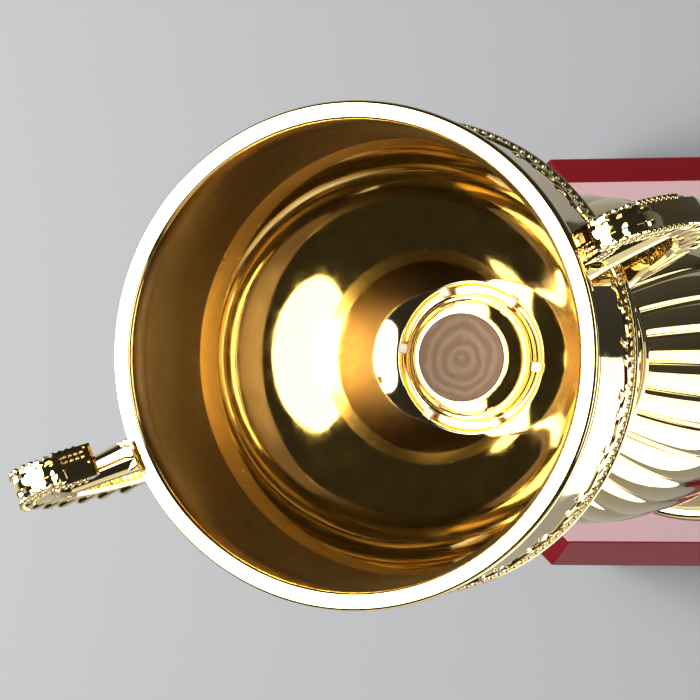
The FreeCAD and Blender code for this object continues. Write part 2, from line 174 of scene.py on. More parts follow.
BASE_EDGE_ROUND = 0.0007
base_shell = rounded_copy("base_shell", BASE_EDGE_ROUND, 4)
dress(base_shell, red_gloss())


# ---- Foot flange ----------------------------------------------------------------
# Turned-looking ABS moulding, vacuum plated in pale gold: a lip on the base, a
# cove, and a bead that the fluted body stands on.
def arc(a, middle, b, steps):
    """Points of the circle's arc from a through middle to b, both ends kept."""
    (ax, az), (mx, mz), (bx, bz) = a, middle, b
    d = 2 * (ax * (mz - bz) + mx * (bz - az) + bx * (az - mz))
    squares = [p[0] ** 2 + p[1] ** 2 for p in (a, middle, b)]
    cx = (squares[0] * (mz - bz) + squares[1] * (bz - az) + squares[2] * (az - mz)) / d
    cz = (squares[0] * (bx - mx) + squares[1] * (ax - bx) + squares[2] * (mx - ax)) / d
    radius = math.hypot(ax - cx, az - cz)
    start, half, end = (math.atan2(z - cz, x - cx) for x, z in (a, middle, b))
    first = (half - start + math.pi) % (2 * math.pi) - math.pi
    second = (end - half + math.pi) % (2 * math.pi) - math.pi
    turn = first + second
    angles = [start + turn * k / steps for k in range(steps + 1)]
    return [(cx + radius * math.cos(angle), cz + radius * math.sin(angle)) for angle in angles]


def soften(outline, radius, steps=4, sharp=22):
    """Rounds each corner of an open outline that turns by more than sharp degrees."""
    done = [outline[0]]
    for before, here, after in zip(outline, outline[1:], outline[2:]):
        into = Vector(here) - Vector(before)
        out = Vector(after) - Vector(here)
        if into.length < 1e-9 or out.length < 1e-9:
            continue
        turn = into.angle(out)
        if turn < math.radians(sharp):
            done.append(here)
            continue
        reach = min(radius * math.tan(turn / 2), 0.45 * into.length, 0.45 * out.length)
        a = Vector(here) - into.normalized() * reach
        b = Vector(here) + out.normalized() * reach
        for k in range(steps + 1):
            t = k / steps
            done.append(tuple(a * (1 - t) ** 2 + 2 * Vector(here) * t * (1 - t) + b * t * t))
    return done + [outline[-1]]


def lathe(name, outline, turns=256, closed=False):
    """Revolves an outline of (radius, height) in millimetres, with true normals."""
    points = list(outline)
    count = len(points)
    normals = []
    for i in range(count):
        before = points[i - 1] if closed or i else points[0]
        after = points[(i + 1) % count] if closed or i < count - 1 else points[-1]
        slope = Vector((0.0, 0.0))
        for a, b in ((before, points[i]), (points[i], after)):
            step = Vector(b) - Vector(a)
            slope += step * step.length
        slope = slope.normalized() if slope.length else Vector((0.0, 1.0))
        normals.append((slope.y, -slope.x))
    vertices, directions, faces = [], [], []
    for k in range(turns):
        c, s = math.cos(2 * math.pi * k / turns), math.sin(2 * math.pi * k / turns)
        for (r, z), (nr, nz) in zip(points, normals):
            vertices.append((r * c / 1000, r * s / 1000, z / 1000))
            directions.append((nr * c, nr * s, nz))
    spans = count if closed else count - 1
    for k in range(turns):
        for i in range(spans):
            j = (i + 1) % count
            n = (k + 1) % turns
            faces.append((k * count + i, n * count + i, n * count + j, k * count + j))
    mesh = bpy.data.meshes.new(name)
    mesh.from_pydata(vertices, [], faces)
    mesh.validate()
    for face in mesh.polygons:
        face.use_smooth = True
    mesh.normals_split_custom_set_from_vertices(directions)
    return add_object(name, mesh)


def heights(node):
    """Outer radius, lowest and highest point of a turned CAD node, in millimetres."""
    low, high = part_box(node)
    return high.x * 1000, low.z * 1000, high.z * 1000


def gold_plating(name, ripple_strength, tones=("#F1D897", "#F6E1A8"), haze=(0.035, 0.10)):
    """Vacuum-plated ABS: a mirror film of pale gold over a slightly wavy moulding.

    Tones drift over about 30 mm, haze over 4 mm, and the wave is 18 mm long.
    """
    material, tree, shader = new_material(name, Metallic=1.0)
    place = add_node(tree, "ShaderNodeTexCoord").outputs["Object"]
    clouds = add_node(tree, "ShaderNodeTexNoise", Vector=place, Scale=35.0, Detail=3.0)
    tone = add_node(tree, "ShaderNodeMix", {"data_type": "RGBA"}, i0=clouds.outputs["Fac"],
                    i6=colour(tones[0]), i7=colour(tones[1]))
    tree.links.new(tone.outputs[2], shader.inputs["Base Color"])
    specks = add_node(tree, "ShaderNodeTexNoise", Vector=place, Scale=260.0, Detail=4.0)
    rough = add_node(tree, "ShaderNodeMapRange", Value=specks.outputs["Fac"],
                     i1=0.4, i2=0.8, i3=haze[0], i4=haze[1])
    tree.links.new(rough.outputs[0], shader.inputs["Roughness"])
    wave = add_node(tree, "ShaderNodeTexNoise", Vector=place, Scale=55.0, Detail=1.5)
    bump = add_node(tree, "ShaderNodeBump", Strength=ripple_strength, Distance=0.0012,
                    Height=wave.outputs["Fac"])
    tree.links.new(bump.outputs[0], shader.inputs["Normal"])
    return material


gold = gold_plating("gold_plated_abs", 0.05)
foot_radius, foot_low, foot_high = heights("foot")
body_radius, body_low, body_high = heights("fluted_body")
SPIGOT = 2.0                    # the step that locates the next piece
SPIGOT_INSET = 1.6
FOOT_TOP = foot_high - SPIGOT
FOOT_TOP_RADIUS = 25.5
FOOT_LIP = 3.0
FOOT_LIP_ROUND = 1.2
FOOT_BEAD = 3.2
FOOT_BORE = 20.0
FOOT_DECK = 2.4
lip_low = (foot_radius - FOOT_LIP_ROUND, foot_low)
bead_low = (FOOT_TOP_RADIUS + 1.0, FOOT_TOP - FOOT_BEAD)
foot_outline = arc(lip_low, (foot_radius, foot_low + FOOT_LIP / 2),
                   (foot_radius - FOOT_LIP_ROUND, foot_low + FOOT_LIP), 10)
foot_outline += arc((foot_radius - 2.2, foot_low + 3.1), (foot_radius - 6.2, foot_low + 9.0), bead_low, 24)
foot_outline += arc(bead_low, (FOOT_TOP_RADIUS + 2.0, FOOT_TOP - FOOT_BEAD / 2),
                    (FOOT_TOP_RADIUS, FOOT_TOP), 12)
spigot_radius = FOOT_TOP_RADIUS - SPIGOT_INSET
foot_outline += [(spigot_radius, FOOT_TOP + 0.1), (spigot_radius, foot_high), (FOOT_BORE, foot_high),
                 (FOOT_BORE, FOOT_TOP - FOOT_DECK), (foot_radius - 3.4, foot_low), lip_low]
foot = lathe("foot_flange", soften(foot_outline, 0.35))
dress(foot, gold)
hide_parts("foot")
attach(foot, "root")


# ---- Fluted body -------------------------------------------------------------------
# Hollow plated moulding like a vase, its whole side worked into upright lobes
# with a narrow valley between each pair. The mirror film draws every lobe as a
# pair of sharp light and dark stripes.
LOBES = 30
LOBE_DEPTH = 1.3
SEGMENTS_PER_LOBE = 16
BELLY_HEIGHT = 65.0
BODY_LOW_RADIUS = 26.0
BODY_TOP_RADIUS = 22.0
BODY_TOP = body_high - SPIGOT
belly = (body_radius, body_low + BELLY_HEIGHT)
low_half = arc((BODY_LOW_RADIUS, body_low), (30.0, body_low + 32.0), belly, 40)
high_half = arc(belly, (29.2, BODY_TOP - 18.3), (BODY_TOP_RADIUS, BODY_TOP), 34)
body_side = low_half + high_half[1:]


def lobed_radius(radius, height, turn):
    """Radius on the lobes: full and round in the middle, a valley at each edge."""
    across_lobe = abs((turn * LOBES) % 1.0 - 0.5) * 2
    ends = min(1.0, (height - body_low) / 3.0 + 0.25, (BODY_TOP - height) / 2.0 + 0.35)
    return radius - LOBE_DEPTH * ends * (0.45 * across_lobe ** 2 + 0.55 * across_lobe ** 6)


def fluted_mesh():
    around = LOBES * SEGMENTS_PER_LOBE
    vertices, faces = [], []
    for k in range(around):
        turn = k / around
        angle = 2 * math.pi * turn
        for r, z in body_side:
            lobed = lobed_radius(r, z, turn)
            vertices.append((lobed * math.cos(angle) / 1000, lobed * math.sin(angle) / 1000, z / 1000))
    rows = len(body_side)
    for k in range(around):
        n = (k + 1) % around
        for i in range(rows - 1):
            faces.append((k * rows + i, n * rows + i, n * rows + i + 1, k * rows + i + 1))
    low_ring = [k * rows for k in range(around)]
    high_ring = [k * rows + rows - 1 for k in range(around)]
    faces.append(list(reversed(low_ring)))
    faces.append(high_ring)
    mesh = bpy.data.meshes.new("fluted_vase")
    mesh.from_pydata(vertices, [], faces)
    for face in mesh.polygons:
        face.use_smooth = len(face.vertices) == 4
    return mesh


fluted_body = add_object("fluted_vase", fluted_mesh())
dress(fluted_body, gold)
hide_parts("fluted_body")
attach(fluted_body, "root")


# ---- Neck collar ---------------------------------------------------------------------
# One plated moulding: a bright ring that caps the vase, a deep cove that draws
# in to the waist, and the seat that carries the bowl.
neck_radius, neck_low, neck_high = heights("neck_collar")
NECK_SPIGOT = 2.4
NECK_TOP = neck_high - NECK_SPIGOT
RING_EDGE = neck_radius - 0.6
RING_HEIGHT = 2.6
WAIST = (14.2, neck_low + 25.0)
SEAT = (16.0, NECK_TOP)
neck_outline = [(RING_EDGE - 3.0, neck_low)]
neck_outline += arc((RING_EDGE, neck_low), (neck_radius, neck_low + RING_HEIGHT / 2),
                    (RING_EDGE, neck_low + RING_HEIGHT), 14)
neck_outline += arc((RING_EDGE - 0.8, neck_low + RING_HEIGHT), (16.1, neck_low + 12.0), WAIST, 40)
neck_outline += arc(WAIST, (14.7, (WAIST[1] + SEAT[1]) / 2), SEAT, 16)[1:]
neck_outline += [(11.4, NECK_TOP), (11.4, neck_high), (10.2, neck_high), (10.2, NECK_TOP - 3.0)]
neck = lathe("neck_collar_turned", soften(neck_outline, 0.3))
dress(neck, gold)
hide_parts("neck_collar")
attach(neck, "root")


# ---- Nut cap and its disc ---------------------------------------------------------------
# A tapered plated plug pressed over the tie rod's nut, standing up through the
# hole in the bowl's floor. Its flat top carries a thin satin foil disc with
# faint circular brushing.
cap_radius, cap_low, cap_high = heights("nut_cap")
CAP_TOP_RADIUS = 8.6
cap_outline = [(cap_radius - 1.5, cap_low), (cap_radius, cap_low), (cap_radius, cap_low + 0.75),
               (cap_radius - 0.55, cap_low + 1.2), (cap_radius - 1.0, cap_low + 1.25),
               (CAP_TOP_RADIUS + 0.1, cap_high - 0.35), (CAP_TOP_RADIUS - 0.3, cap_high), (0.02, cap_high)]
nut_cap = lathe("nut_cap_turned", soften(cap_outline, 0.2), turns=160)
dress(nut_cap, gold)
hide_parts("nut_cap")
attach(nut_cap, "root")


def satin_foil():
    """Thin brushed foil: a soft copper-beige sheen, brushed in circles.

    The brushing is drawn 2 mm apart, far coarser than it is, so that it shows.
    """
    material, tree, shader = new_material("satin_copper_foil", Metallic=0.35, Specular_IOR_Level=0.4)
    place = add_node(tree, "ShaderNodeTexCoord").outputs["Object"]
    clouds = add_node(tree, "ShaderNodeTexNoise", Vector=place, Scale=160.0, Detail=3.0)
    tone = add_node(tree, "ShaderNodeMix", {"data_type": "RGBA"}, i0=clouds.outputs["Fac"],
                    i6=colour("#604A35"), i7=colour("#755D47"))
    rings = add_node(tree, "ShaderNodeTexWave", {"wave_type": "RINGS", "rings_direction": "Z"}, Vector=place,
                     Scale=150.0, Distortion=7.0, Detail=4.0)
    streak = add_node(tree, "ShaderNodeMix", {"data_type": "RGBA"}, i0=rings.outputs["Fac"],
                      i6=tone.outputs[2], i7=colour("#6E563F"))
    tree.links.new(streak.outputs[2], shader.inputs["Base Color"])
    rough = add_node(tree, "ShaderNodeMapRange", Value=rings.outputs["Fac"], i3=0.42, i4=0.55)
    tree.links.new(rough.outputs[0], shader.inputs["Roughness"])
    bump = add_node(tree, "ShaderNodeBump", Strength=0.05, Distance=0.0001, Height=rings.outputs["Fac"])
    tree.links.new(bump.outputs[0], shader.inputs["Normal"])
    return material


disc_radius, disc_low, disc_high = heights("cap_disc")
disc_outline = [(disc_radius, disc_low), (disc_radius, disc_high - 0.1), (disc_radius - 0.25, disc_high),
                (0.02, disc_high)]
cap_disc = lathe("cap_foil_disc", soften(disc_outline, 0.1), turns=160)
dress(cap_disc, satin_foil())
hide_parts("cap_disc")
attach(cap_disc, "root")


# ---- Bowl ----------------------------------------------------------------------------------
# The cup itself, one plated shell: a thick rolled lip, a groove, an upright
# band, a bead, and a round bottom with a hole for the cap. Plated inside too,
# so light that goes in bounces several times; the deep brown-gold of the inner
# wall and shoulder is painted shade in their colour.
bowl_floor_low = mouth_low.z * 1000
rim = RIM * 1000
mouth = MOUTH_RADIUS * 1000
LIP_WIDTH = 3.1
LIP_HEIGHT = 3.4
GROOVE_HEIGHT = 7.0
BAND = mouth - 1.9
BAND_BOTTOM = rim - 31.0
HOLE = 12.7
HOLE_FILLET = 1.1
BOWL_WALL = 2.2
GROOVE_DEPTH = 0.8
GROOVE_WALL = 1.7
THROAT = BAND - GROOVE_DEPTH - GROOVE_WALL


def ellipse_quarter(radius, top, bottom, hole, steps):
    """From the wall down and in to the edge of the hole."""
    depth = (top - bottom) / math.sqrt(1 - (hole / radius) ** 2)
    last = math.acos(hole / radius)
    return [(radius * math.cos(last * k / steps), top - depth * math.sin(last * k / steps))
            for k in range(steps + 1)]


floor = bowl_floor_low + BOWL_WALL
inner_wall = BAND - BOWL_WALL - 1.0
inside = [(mouth - LIP_WIDTH, rim - LIP_WIDTH / 2), (THROAT, rim - LIP_HEIGHT - 0.6)]
inside += ellipse_quarter(inner_wall, BAND_BOTTOM + 2.0, floor, HOLE + HOLE_FILLET, 60)
inside += arc((HOLE + HOLE_FILLET, floor), (HOLE + HOLE_FILLET * 0.293, floor - HOLE_FILLET * 0.293),
              (HOLE, floor - HOLE_FILLET), 8)[1:]
inside += [(HOLE, bowl_floor_low)]
outside = ellipse_quarter(BAND - 1.0, BAND_BOTTOM, bowl_floor_low, HOLE + HOLE_FILLET + 2.5, 50)
LIP_ROUND = ((0.0, 0.8), (0.12, 0.28), (0.42, 0.1))      # in from the side, down from the top
outer_round = [(mouth - step, rim - drop) for step, drop in LIP_ROUND]
inner_round = [(mouth - LIP_WIDTH + step, rim - drop) for step, drop in reversed(LIP_ROUND)]
lip = [(mouth, rim - LIP_WIDTH / 2)] + arc(*outer_round, 8)
lip += arc(outer_round[-1], (mouth - LIP_WIDTH / 2, rim), inner_round[0], 16)[1:] + arc(*inner_round, 8)[1:]
groove_top = rim - LIP_HEIGHT
groove_low = groove_top - GROOVE_HEIGHT
groove = arc((BAND - 0.3, groove_low), (BAND - GROOVE_DEPTH, (groove_top + groove_low) / 2),
             (mouth - 0.9, groove_top), 22)
bead = arc((BAND, BAND_BOTTOM), (BAND + 0.5, BAND_BOTTOM + 0.7), (BAND, BAND_BOTTOM + 1.4), 12)
bowl_loop = list(reversed(outside)) + [(BAND - 0.1, BAND_BOTTOM - 0.1)] + bead + groove + lip + inside[1:]
bowl = lathe("bowl_shell", soften(bowl_loop, 0.3, sharp=28), turns=320, closed=True)
dress(bowl, gold_plating("gold_plated_bowl", 0.045))
# The plating is one film all over. Inside, the wall is painted a dark brown-gold
# and the shoulder a duller gold, both hazy: painted shade, standing in for the
# reflection of the dark room that a real cup mirrors.
for name, tones, haze in (("gold_inner_wall_painted_shade", ("#49351A", "#543D1F"), (0.34, 0.42)),
                          ("gold_shoulder_painted_shade", ("#C2A05C", "#CDAC6A"), (0.25, 0.28))):
    bowl.data.materials.append(gold_plating(name, 0.03, tones, haze))
for face in bowl.data.polygons:
    x, y, z = face.center * 1000
    faces_in = face.normal.x * x + face.normal.y * y < 0
    if faces_in and math.hypot(x, y) < mouth - LIP_WIDTH - 0.3 and z > BAND_BOTTOM - 5.0:
        face.material_index = 1 if z > BAND_BOTTOM + 3.5 else 2
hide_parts("cup_bowl")
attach(bowl, "root")


# ---- Vine band --------------------------------------------------------------------------
# Relief moulded round the lower half of the band: a wavy stem with pointed
# leaves to both sides, over a row of small round beads.
class Carving:
    """Vertices and faces of one moulding, gathered in millimetres."""

    def __init__(self):
        self.vertices, self.faces = [], []

    def add(self, vertices, faces):
        first = len(self.vertices)
        self.vertices += [tuple(v) for v in vertices]
        self.faces += [tuple(first + i for i in face) for face in faces]

    def loft(self, rings):
        """Skins a row of equal closed rings and caps both ends."""
        n = len(rings[0])
        faces = [(i * n + j, i * n + (j + 1) % n, (i + 1) * n + (j + 1) % n, (i + 1) * n + j)
                 for i in range(len(rings) - 1) for j in range(n)]
        last = (len(rings) - 1) * n
        faces += [tuple(reversed(range(n))), tuple(range(last, last + n))]
        self.add([p for ring in rings for p in ring], faces)

    def bead(self, centre, radius, squash=1.0, rings=7, turns=12):
        """A round bead; squash flattens it along Y."""
        vertices = [centre + Vector((0, 0, radius))]
        for i in range(1, rings):
            a = math.pi * i / rings
            for k in range(turns):
                b = 2 * math.pi * k / turns
                vertices.append(centre + radius * Vector((math.sin(a) * math.cos(b),
                                                          squash * math.sin(a) * math.sin(b), math.cos(a))))
        vertices.append(centre - Vector((0, 0, radius)))
        faces = [(0, 1 + k, 1 + (k + 1) % turns) for k in range(turns)]
        for i in range(rings - 2):
            row = 1 + i * turns
            faces += [(row + k, row + turns + k, row + turns + (k + 1) % turns, row + (k + 1) % turns)
                      for k in range(turns)]
        end, row = len(vertices) - 1, 1 + (rings - 2) * turns
        faces += [(end, row + (k + 1) % turns, row + k) for k in range(turns)]
        self.add(vertices, faces)

    def mesh(self, name, crease=32):
        """The finished mesh, smooth except at creases of that many degrees."""
        mesh = bpy.data.meshes.new(name)
        mesh.from_pydata([(x / 1000, y / 1000, z / 1000) for x, y, z in self.vertices], [], self.faces)
        work = bmesh.new()
        work.from_mesh(mesh)
        bmesh.ops.recalc_face_normals(work, faces=work.faces)
        work.to_mesh(mesh)
        work.free()
        for face in mesh.polygons:
            face.use_smooth = True
        mesh.set_sharp_from_angle(angle=math.radians(crease))
        return mesh


VINE_HEIGHT = BAND_BOTTOM + 6.4
VINE_PAIRS = 54
BAND_BEADS = 168


def on_band(angle, height, lift):
    """A point on the band, lifted off its surface."""
    r = BAND - 0.02 * (height - BAND_BOTTOM) + lift
    return Vector((r * math.cos(angle), r * math.sin(angle), height))


def carve_leaf(work, angle, height, heading, length, half_width):
    """A domed, pointed leaf lying on the band, its tip along the heading."""
    rings = []
    for i in range(8):
        s = i / 7
        half = half_width * math.sin(math.pi * min(0.985, 0.1 + 0.9 * s)) ** 0.8 + 0.02
        dome = 0.5 * half / half_width
        ring = []
        for k in range(8):
            a = 2 * math.pi * k / 8
            run, side = length * s, half * math.cos(a)
            ring.append(on_band(angle + (run * math.cos(heading) - side * math.sin(heading)) / BAND,
                                height + run * math.sin(heading) + side * math.cos(heading),
                                dome * max(-0.4, math.sin(a)) - 0.05))
        rings.append(ring)
    work.loft(rings)


relief = Carving()
for k in range(BAND_BEADS):
    relief.bead(on_band(2 * math.pi * k / BAND_BEADS, BAND_BOTTOM + 2.6, 0.05), 0.52, rings=5, turns=8)
stem = []
for k in range(VINE_PAIRS * 10 + 1):
    a = 2 * math.pi * k / (VINE_PAIRS * 10)
    wave = 0.55 * math.sin(a * VINE_PAIRS / 2)
    stem.append([on_band(a, VINE_HEIGHT + wave + 0.24 * math.cos(b), 0.1 + 0.3 * math.sin(b))
                 for b in [2 * math.pi * j / 6 for j in range(6)]])
relief.loft(stem)
for k in range(VINE_PAIRS):
    a = 2 * math.pi * k / VINE_PAIRS
    up = 1 if k % 2 else -1
    carve_leaf(relief, a, VINE_HEIGHT + up * 0.5, up * math.radians(42), 3.3, 0.95)
    carve_leaf(relief, a + 0.045, VINE_HEIGHT - up * 0.2, -up * math.radians(58), 2.5, 0.75)
    relief.bead(on_band(a + 0.02, VINE_HEIGHT + up * 2.6, 0.05), 0.36, rings=5, turns=8)
vine = add_object("vine_relief", relief.mesh("vine_relief"))
dress(vine, gold)
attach(vine, "root")


# ---- Gate ends ---------------------------------------------------------------------------------
# Where the plastic entered the mould the gates were clipped off after plating,
# so six square ends of bare white ABS stand round the hole.
def bare_abs():
    """Unplated ABS, cut: warm white and matt, with a torn grain of about half a millimetre."""
    material, tree, shader = new_material("bare_white_abs", IOR=1.54, Roughness=0.45)
    place = add_node(tree, "ShaderNodeTexCoord").outputs["Object"]
    grain = add_node(tree, "ShaderNodeTexNoise", Vector=place, Scale=1800.0, Detail=3.0)
    tone = add_node(tree, "ShaderNodeMix", {"data_type": "RGBA"}, i0=grain.outputs["Fac"],
                    i6=colour("#F2EEE0"), i7=colour("#FFFDF4"))
    tree.links.new(tone.outputs[2], shader.inputs["Base Color"])
    bump = add_node(tree, "ShaderNodeBump", Strength=0.3, Distance=0.0001, Height=grain.outputs["Fac"])
    tree.links.new(bump.outputs[0], shader.inputs["Normal"])
    return material


GATE_EDGE_ROUND = 0.00018
gate_ends = rounded_copy("bowl_gate_stubs", GATE_EDGE_ROUND, 2)
dress(gate_ends, bare_abs())


# ---- Handles ----------------------------------------------------------------------------------------
# Two identical plated mouldings, each a flat scroll in the shape of a wing: a
# curled end with sunk panels, a roofed top edged with beads, a fan of feathers
# on both sides, a ribbed inner wall, and a round arm back to the cup's rim.
def smooth_path(points, per_span):
    """Catmull-Rom curve through the points, in the handle's own plane."""
    ends = [points[0] * 2 - points[1]] + points + [points[-1] * 2 - points[-2]]
    path = []
    for a, b, c, d in zip(ends, ends[1:], ends[2:], ends[3:]):
        for k in range(per_span):
            t = k / per_span
            path.append(0.5 * (2 * b + (c - a) * t + (2 * a - 5 * b + 4 * c - d) * t ** 2
                               + (3 * b - a - 3 * c + d) * t ** 3))
    return path + [points[-1]]


handle_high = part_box("handle_right")[1] * 1000
BAR = 4.6
PLATE = 2.5                     # half of the scroll's thickness
SWELL = 0.8
ROOF = 0.75                     # how far the roof and its beads stand above the bar
FEATHER_TIPS = 1.3
HANDLE_DROP = 40.0
SCROLL_STEPS = 14
FEATHERS = 8
span_out = handle_high.x - BAR / 2 - FEATHER_TIPS - BAND
scroll_top = handle_high.z - BAR / 2 - ROOF
scroll_drop = scroll_top - (rim - HANDLE_DROP)
SCROLL_SHAPE = [(0.52, 0.014), (0.64, 0.0), (0.80, 0.035), (0.96, 0.18), (1.0, 0.38),
                (0.90, 0.55), (0.69, 0.72), (0.38, 0.88), (-0.04, 1.0)]
ARM_HEIGHT = rim - 5.5
ARM_ROOT = (4.0, 3.2)
ARM_TIP = 2.0


def scroll_frames():
    """Centre, outward direction and share of the length, all along the scroll."""
    corners = [Vector((BAND + span_out * u, 0, scroll_top - scroll_drop * v)) for u, v in SCROLL_SHAPE]
    path = smooth_path(corners, SCROLL_STEPS)
    frames = []
    for i, here in enumerate(path):
        along = (path[min(i + 1, len(path) - 1)] - path[max(i - 1, 0)]).normalized()
        frames.append((here, Vector((-along.z, 0, along.x)), i / (len(path) - 1)))
    return frames


scroll = scroll_frames()


def scroll_half_width(t):
    """Half of the bar's width, fullest in the middle of the scroll."""
    return BAR / 2 + SWELL * math.sin(math.pi * t)


def scroll_half_thickness(t):
    """Scalloped beside the curl, plain along the feathers, full at the cup."""
    scallop = 0.55 * math.sqrt(abs(math.sin(math.pi * (t + 0.01) / 0.05))) if t < 0.14 else 0.3
    return PLATE - 0.45 + scallop + 0.15 * min(1.0, max(0.0, (t - 0.14) * 12))


def slot_depth(t):
    """The slots sunk in both slopes of the roof."""
    return 0.9 * min(1.0, max(0.0, (t - 0.05) * 150), max(0.0, (0.27 - t) * 150))


def scroll_ring(centre, out, t):
    """The bar's section: a roof with two slots, upright sides and a flat underside."""
    half, thick, sunk = scroll_half_width(t), scroll_half_thickness(t), slot_depth(t)
    roof = [(share, half + 0.42 * (1 - share)) for share in (0.0, 0.30, 0.34, 0.62, 0.66, 0.90)]
    half_ring = [(level - (sunk if share in (0.34, 0.62) else 0.0), share * thick) for share, level in roof]
    half_ring += [(half - 0.2, 0.97 * thick), (half - 0.7, thick), (-half + 0.6, thick),
                  (-half, thick - 0.6), (-half, 0.0)]
    ring = half_ring + [(n, -y) for n, y in reversed(half_ring[1:-1])]
    return [centre + out * n + Vector((0, y, 0)) for n, y in ring]


def carve_scroll(work):
    """The bar itself, with three rows of beads along both of its sides."""
    work.loft([scroll_ring(*place) for place in scroll])
    walked, spacing = 0.0, 1.25
    for (before, _, _), (here, out, t) in zip(scroll, scroll[1:]):
        walked += (here - before).length
        if walked < spacing:
            continue
        walked -= spacing
        half, thick = scroll_half_width(t), scroll_half_thickness(t)
        for side in (1, -1):
            if 0.13 < t < 0.40:
                work.bead(here + out * (half - 0.25) + Vector((0, side * (thick - 0.05), 0)), 0.58)
            if 0.10 < t < 0.34:
                work.bead(here + out * (half - 2.1) + Vector((0, side * (thick + 0.1), 0)), 0.5)
            if 0.12 < t < 0.26:
                work.bead(here + out * (half - 3.6) + Vector((0, side * thick, 0)), 0.42)


def carve_feathers(work):
    """Eight feathers on each side, running level from stepped tips at the outer edge."""
    for k in range(FEATHERS):
        here, out, t = scroll[int((0.30 + 0.065 * k) * (len(scroll) - 1))]
        tip = here + out * (scroll_half_width(t) + 0.1)
        reach = 6.6 - 0.25 * k
        for side in (1, -1):
            rings = []
            for i in range(9):
                s = i / 8
                half = 1.35 * math.sqrt(min(1.0, s * 3)) * (1 - 0.5 * s) + 0.04
                height = (0.5 + 0.05 * k) * math.sqrt(min(1.0, s * 4)) * (1 - 0.75 * s) + 0.03
                centre = tip + Vector((-reach * s, side * (scroll_half_thickness(t) - 0.1), 0.9 * s))
                rings.append([centre + Vector((0, side * height * math.sin(a), half * math.cos(a)))
                              for a in [math.pi * 2 * j / 10 for j in range(10)]])
            work.loft(rings)


def carve_inner_ribs(work):
    """Small upright bars across the inner wall of the finger opening."""
    walked, spacing = 0.0, 1.5
    for (before, _, _), (here, out, t) in zip(scroll, scroll[1:]):
        walked += (here - before).length
        if t < 0.34 or t > 0.9 or walked < spacing:
            continue
        walked -= spacing
        along = Vector((out.z, 0, -out.x))
        seat = here - out * (scroll_half_width(t) - 0.15)
        reach = scroll_half_thickness(t) - 0.55
        rings = [[seat + along * 0.5 * math.cos(a) - out * 0.5 * math.sin(a) + Vector((0, y, 0))
                  for a in [math.pi * 2 * j / 8 for j in range(8)]] for y in (-reach, reach)]
        work.loft(rings)


def carve_curl_block(work):
    """The squared end of the curl: a sloping face with two sunk panels beside a ridge."""
    top = scroll[0][0] + Vector((0.2, 0, BAR / 2 - 0.3))
    down = Vector((-0.72, 0, -0.70))
    proud = Vector((-0.70, 0, 0.72))
    length, half, rim_width, sunk, block = 7.0, PLATE + 0.3, 0.55, 1.0, 3.2
    walls = [0.0, rim_width, rim_width + 0.12, length / 2,
             length - rim_width - 0.12, length - rim_width, length]
    sides = [-half, -half + 0.4, -half + 0.52, -0.34, -0.22, 0.22, 0.34, half - 0.52, half - 0.4, half]
    grid = []
    for i, s in enumerate(walls):
        for j, y in enumerate(sides):
            panel = 2 <= i <= len(walls) - 3 and (2 <= j <= 3 or 6 <= j <= 7)
            lip = -0.25 if i in (0, len(walls) - 1) or j in (0, len(sides) - 1) else 0.0
            level = -sunk if panel else (0.2 if 4 <= j <= 5 else lip)
            grid.append(top + down * (s + 1.0) + proud * level + Vector((0, y, 0)))
    n, m = len(walls), len(sides)
    faces = [(i * m + j, i * m + j + 1, (i + 1) * m + j + 1, (i + 1) * m + j)
             for i in range(n - 1) for j in range(m - 1)]
    edge = (list(range(m)) + [i * m + m - 1 for i in range(1, n)]
            + [(n - 1) * m + j for j in range(m - 2, -1, -1)] + [i * m for i in range(n - 2, 0, -1)])
    below = [grid[e] - proud * block for e in edge]
    first = len(grid)
    faces += [(a, b, first + (k + 1) % len(edge), first + k)
              for k, (a, b) in enumerate(zip(edge, edge[1:] + edge[:1]))]
    faces.append(tuple(range(first, first + len(edge))))
    work.add(grid + below, faces)
    for k in range(5):
        for row in (-0.9, -1.75):
            work.bead(top + down * (2.2 + 1.05 * k) - proud * 0.95 + Vector((0, row, 0)), 0.3)
    for side in (1, -1):
        for k in range(4):
            work.bead(top + down * (2.0 + 1.3 * k) - proud * 2.2 + Vector((0, side * half, 0)), 0.55)
            work.bead(top + down * (3.0 + 1.1 * k) - proud * 3.4 + Vector((0, side * half * 0.9, 0)), 0.42)
        work.bead(top + Vector((0.5, side * (half - 0.6), -0.1)), 0.72)
    neck = []
    for x, drop in ((-1.4, 1.9), (1.4, 1.3)):
        neck.append([top + Vector((x, y, z))
                     for y, z in ((-1.9, -drop), (1.9, -drop), (1.9, -4.0), (-1.9, -4.0))])
    work.loft(neck)


def ellipse_ring(x, z, half_width, half_height, turns=28):
    """An upright oval across the arm."""
    return [Vector((x, half_width * math.cos(a), z + half_height * math.sin(a)))
            for a in [2 * math.pi * k / turns for k in range(turns)]]


def carve_arm(work):
    """Round arm from the rim, flared where it is glued, with a leaf over the joint."""
    start = BAND - 1.2
    tip = scroll[(len(SCROLL_SHAPE) - 1) * SCROLL_STEPS // 2][0]
    rings = []
    for k in range(15):
        s = k / 14
        ease = s ** 0.55
        rings.append(ellipse_ring(start + (tip.x - start) * s, ARM_HEIGHT + (tip.z - ARM_HEIGHT) * s ** 1.5,
                                  ARM_ROOT[0] + (ARM_TIP - ARM_ROOT[0]) * ease,
                                  ARM_ROOT[1] + (ARM_TIP - ARM_ROOT[1]) * ease))
    work.loft(rings)
    for side in (-1, 0, 1):
        leaf = []
        for k in range(7):
            s = k / 6
            half = 0.85 * math.sin(math.pi * min(0.98, s * 0.85 + 0.12)) + 0.03
            x = start + 2.4 + 3.6 * s
            z = ARM_HEIGHT + ARM_ROOT[1] - 0.3 - 0.75 * s
            y = side * (0.9 + 1.6 * s)
            leaf.append([Vector((x, y + half * math.cos(a), z + 0.42 * math.sin(a) - abs(side) * 0.35))
                         for a in [2 * math.pi * j / 10 for j in range(10)]])
        work.loft(leaf)


